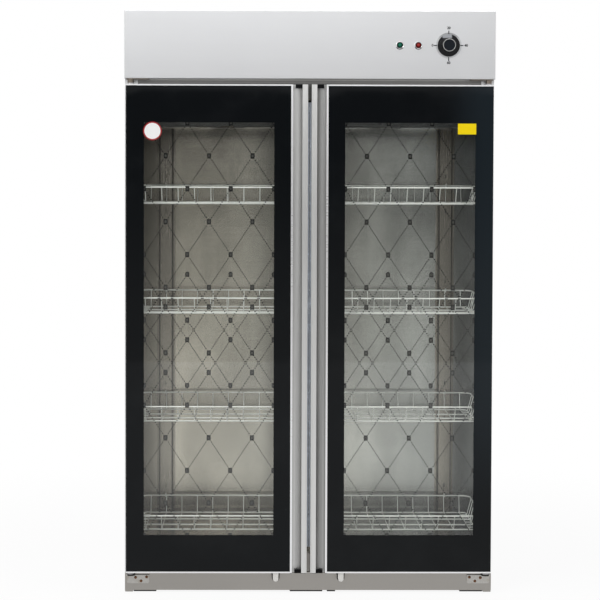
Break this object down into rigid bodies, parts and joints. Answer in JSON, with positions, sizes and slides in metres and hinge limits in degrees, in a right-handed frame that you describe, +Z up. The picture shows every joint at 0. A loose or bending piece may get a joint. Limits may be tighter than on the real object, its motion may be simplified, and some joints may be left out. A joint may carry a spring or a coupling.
{
  "type": "dish sterilizer cabinet",
  "caption": "Upright cabinet that dries and disinfects crockery behind glass doors, with wire baskets, hot-air fans, a germicidal lamp and a timer in its header.",
  "frame": {"origin": "on the floor under the middle of the bounding box", "axes": "+X to the right of a person who faces the doors, +Y to the back of the cabinet, +Z up"},
  "size_m": [1.2, 0.606, 1.896],
  "materials": {
    "outer_steel": "fine brushed stainless sheet",
    "plinth_steel": "dull stainless sheet",
    "inner_steel": "semi-bright stainless sheet",
    "zinc_steel": "zinc-plated steel",
    "screw_steel": "browned steel screws",
    "chrome_wire": "polished chrome",
    "door_aluminium": "satin anodised aluminium",
    "door_glass": "toughened glass with a black printed border",
    "black_plastic": "black moulded plastic",
    "knob_plastic": "glossy black plastic",
    "white_nylon": "white nylon",
    "gasket_rubber": "dark grey silicone",
    "seal_silicone": "blue-grey silicone",
    "pad_rubber": "black rubber",
    "mineral_wool": "mineral wool slab",
    "motor_paint": "grey painted metal",
    "heater_sheath": "heat-tinted steel sheath",
    "uv_glass": "clear quartz tube",
    "timer_case": "cream moulded plastic",
    "lamp_green": "translucent green lens",
    "lamp_red": "translucent red lens"
  },
  "bodies": {
    "cabinet": {"left_side_panel": "outer_steel", "right_side_panel": "outer_steel", "back_panel": "outer_steel", "top_panel": "outer_steel", "header_fascia": "outer_steel", "front_lintel": "inner_steel", "front_sill": "inner_steel", "plinth": "plinth_steel", "base_pan": "zinc_steel", "feet": "plinth_steel", "rubber_pads": "pad_rubber", "side_liners": "inner_steel", "back_liner": "inner_steel", "ceiling_liner": "inner_steel", "floor_liner": "inner_steel", "insulation": "mineral_wool", "rear_posts": "inner_steel", "shelf_hooks": "chrome_wire", "bottom_hinge_brackets": "zinc_steel", "top_hinge_brackets": "zinc_steel", "hinge_pins": "zinc_steel", "hinge_screws": "screw_steel", "duct_housing": "inner_steel", "fan_motors": "motor_paint", "heater_element": "heater_sheath", "uv_lamp": "uv_glass", "uv_lamp_holders": "white_nylon", "thermostat": "zinc_steel", "timer_body": "timer_case", "lamp_bezels": "chrome_wire", "green_lamp": "lamp_green", "red_lamp": "lamp_red", "terminal_block": "timer_case", "cable_gland": "black_plastic"},
    "left_door": {"left_door_glass": "door_glass", "left_door_outer_stile": "door_aluminium", "left_door_rails": "door_aluminium", "left_door_handle_stile": "door_aluminium", "left_door_end_caps": "black_plastic", "left_door_gasket": "gasket_rubber", "left_door_seal_strip": "seal_silicone", "left_door_hinge_bushes": "white_nylon", "left_door_catch": "white_nylon"},
    "right_door": {"right_door_glass": "door_glass", "right_door_outer_stile": "door_aluminium", "right_door_rails": "door_aluminium", "right_door_handle_stile": "door_aluminium", "right_door_end_caps": "black_plastic", "right_door_gasket": "gasket_rubber", "right_door_seal_strip": "seal_silicone", "right_door_hinge_bushes": "white_nylon", "right_door_catch": "white_nylon"},
    "shelf_1": {"shelf_1_basket": "chrome_wire"},
    "shelf_2": {"shelf_2_basket": "chrome_wire"},
    "shelf_3": {"shelf_3_basket": "chrome_wire"},
    "shelf_4": {"shelf_4_basket": "chrome_wire"},
    "timer_knob": {"timer_knob": "knob_plastic", "timer_shaft": "zinc_steel"},
    "left_fan": {"left_fan_rotor": "motor_paint"},
    "right_fan": {"right_fan_rotor": "motor_paint"}
  },
  "joints": [
    {"name": "left_door_hinge", "type": "hinge", "parent": "cabinet", "child": "left_door", "pos_m": [-0.58, -0.261, 0.863], "axis": [0, 0, -1], "range_deg": [0, 110]},
    {"name": "right_door_hinge", "type": "hinge", "parent": "cabinet", "child": "right_door", "pos_m": [0.58, -0.261, 0.863], "axis": [0, 0, 1], "range_deg": [0, 110]},
    {"name": "timer_turn", "type": "hinge", "parent": "cabinet", "child": "timer_knob", "pos_m": [0.448, -0.289, 1.785], "axis": [0, 1, 0], "range_deg": [0, 270]},
    {"name": "shelf_1_lift", "type": "slide", "parent": "cabinet", "child": "shelf_1", "axis": [0, 0, 1], "range_m": [0, 0.03]},
    {"name": "shelf_2_lift", "type": "slide", "parent": "cabinet", "child": "shelf_2", "axis": [0, 0, 1], "range_m": [0, 0.03]},
    {"name": "shelf_3_lift", "type": "slide", "parent": "cabinet", "child": "shelf_3", "axis": [0, 0, 1], "range_m": [0, 0.03]},
    {"name": "shelf_4_lift", "type": "slide", "parent": "cabinet", "child": "shelf_4", "axis": [0, 0, 1], "range_m": [0, 0.03]},
    {"name": "left_fan_spin", "type": "hinge", "parent": "cabinet", "child": "left_fan", "pos_m": [-0.27, 0.178, 1.565], "axis": [0, 0, 1], "continuous": true},
    {"name": "right_fan_spin", "type": "hinge", "parent": "cabinet", "child": "right_fan", "pos_m": [0.27, 0.178, 1.565], "axis": [0, 0, 1], "continuous": true}
  ]
}
